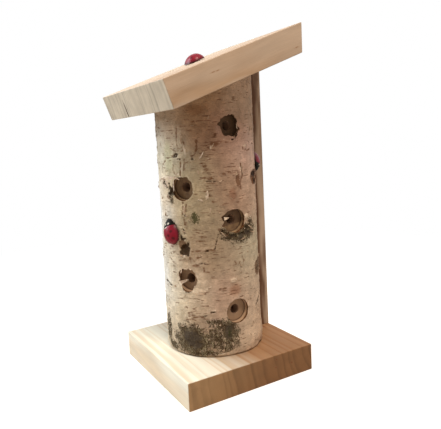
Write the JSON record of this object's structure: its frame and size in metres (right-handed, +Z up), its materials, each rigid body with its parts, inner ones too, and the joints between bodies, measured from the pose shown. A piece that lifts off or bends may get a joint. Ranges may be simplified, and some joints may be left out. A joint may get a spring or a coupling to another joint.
{
  "type": "log bird feeder",
  "caption": "Upright birch log with drilled feeding holes on a square wooden base, under a sloping board roof, with painted wooden ladybirds glued on.",
  "frame": {"origin": "centre of the base board's underside, on the surface that the feeder stands on", "axes": "+Z up along the log, -Y towards the front where the roof is low, +X to the right seen from the front"},
  "size_m": [0.158, 0.1593, 0.3596],
  "materials": {
    "pine": "planed and left bare",
    "birch_wood": "sawn and drilled, bare",
    "birch_bark": "natural papery bark with dark marks",
    "zinc_steel": "bright zinc plating",
    "ladybird_paint": "glossy red paint with black spots and head on wood",
    "glue": "set glue, milky"
  },
  "bodies": {
    "root": {"base_board": "pine", "log_core": "birch_wood", "birch_bark": "birch_bark", "back_batten": "pine", "roof_board": "pine", "base_screws": "zinc_steel", "roof_screws": "zinc_steel", "back_screws": "zinc_steel", "ladybird_front": "ladybird_paint", "ladybird_side": "ladybird_paint", "ladybird_roof": "ladybird_paint", "glue_pad_front": "glue", "glue_pad_side": "glue", "glue_pad_roof": "glue"}
  },
  "joints": []
}
